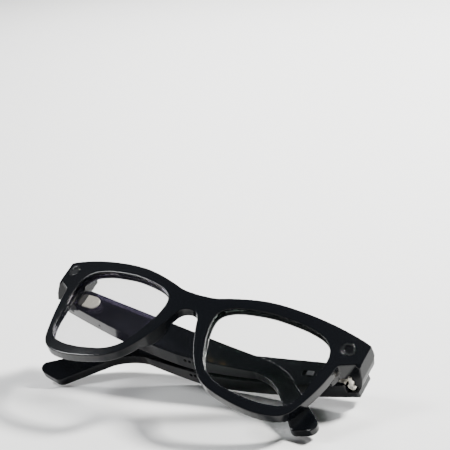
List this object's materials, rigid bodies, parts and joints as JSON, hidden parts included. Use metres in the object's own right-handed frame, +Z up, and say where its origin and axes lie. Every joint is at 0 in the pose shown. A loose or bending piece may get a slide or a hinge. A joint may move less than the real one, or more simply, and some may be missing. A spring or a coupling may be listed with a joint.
{
  "type": "smart glasses",
  "caption": "Folded smart glasses: thick square front with clear lenses, camera and capture light in the corners, and hinged temples with buttons and speakers",
  "frame": {"origin": "centre of the footprint, on the table under the folded glasses", "axes": "+X to the wearer's left across the front, +Y away from the camera side towards the brow edge, +Z up from the table"},
  "size_m": [0.145, 0.051, 0.0478],
  "materials": {
    "frame_black": "polished injection-moulded nylon",
    "lens_clear": "clear, anti-reflective coated",
    "window_dark": "dark, polished",
    "window_light": "smoked diffuser",
    "hinge_metal": "pale champagne, satin",
    "flex_film": "polyimide film",
    "contact_gold": "gold plated, polished",
    "board_green": "solder resist",
    "component_metal": "satin can",
    "switch_grey": "fine texture",
    "module_grey": "moulded housing"
  },
  "bodies": {
    "front": {"front_frame": "frame_black", "left_lens": "lens_clear", "right_lens": "lens_clear", "camera_ring": "frame_black", "camera_glass": "window_dark", "camera_module": "module_grey", "light_ring": "frame_black", "light_window": "window_light", "light_module": "window_light", "front_flex": "flex_film", "charging_contacts": "contact_gold", "nose_microphone": "component_metal", "left_front_hinge": "hinge_metal", "right_front_hinge": "hinge_metal", "left_hinge_screw": "hinge_metal", "right_hinge_screw": "hinge_metal"},
    "left_temple": {"left_temple_shell": "frame_black", "left_temple_cover": "frame_black", "left_hinge_plate": "hinge_metal", "left_circuit_board": "board_green", "left_battery": "component_metal", "left_speaker": "module_grey", "left_speaker_grille": "module_grey", "left_microphone": "component_metal", "power_switch_base": "module_grey"},
    "right_temple": {"right_temple_shell": "frame_black", "right_temple_cover": "frame_black", "right_hinge_plate": "hinge_metal", "right_circuit_board": "board_green", "right_battery": "component_metal", "right_speaker": "module_grey", "right_speaker_grille": "module_grey", "right_microphone": "component_metal", "touch_pad": "flex_film", "button_dome": "component_metal"},
    "capture_button": {"capture_button": "frame_black"},
    "power_switch": {"power_switch": "switch_grey"}
  },
  "joints": [
    {"name": "left_temple_fold", "type": "hinge", "parent": "front", "child": "left_temple", "pos_m": [0.06602, 0.01725, 0.00985], "axis": [-0.0619, -0.8952, -0.4414], "range_deg": [0, 81.8]},
    {"name": "right_temple_fold", "type": "hinge", "parent": "front", "child": "right_temple", "pos_m": [-0.06738, 0.01725, 0.02855], "axis": [0.0619, 0.8952, 0.4414], "range_deg": [-0.5, 0.5]},
    {"name": "capture_button_press", "type": "slide", "parent": "right_temple", "child": "capture_button", "axis": [-0.1599, -0.8907, -0.4254], "range_m": [0, 0.0004], "stiffness_N_per_m": 800, "springref_m": -0.0006},
    {"name": "power_switch_slide", "type": "slide", "parent": "left_temple", "child": "power_switch", "axis": [-0.9991, -0.0256, -0.0329], "range_m": [0, 0.002]}
  ]
}
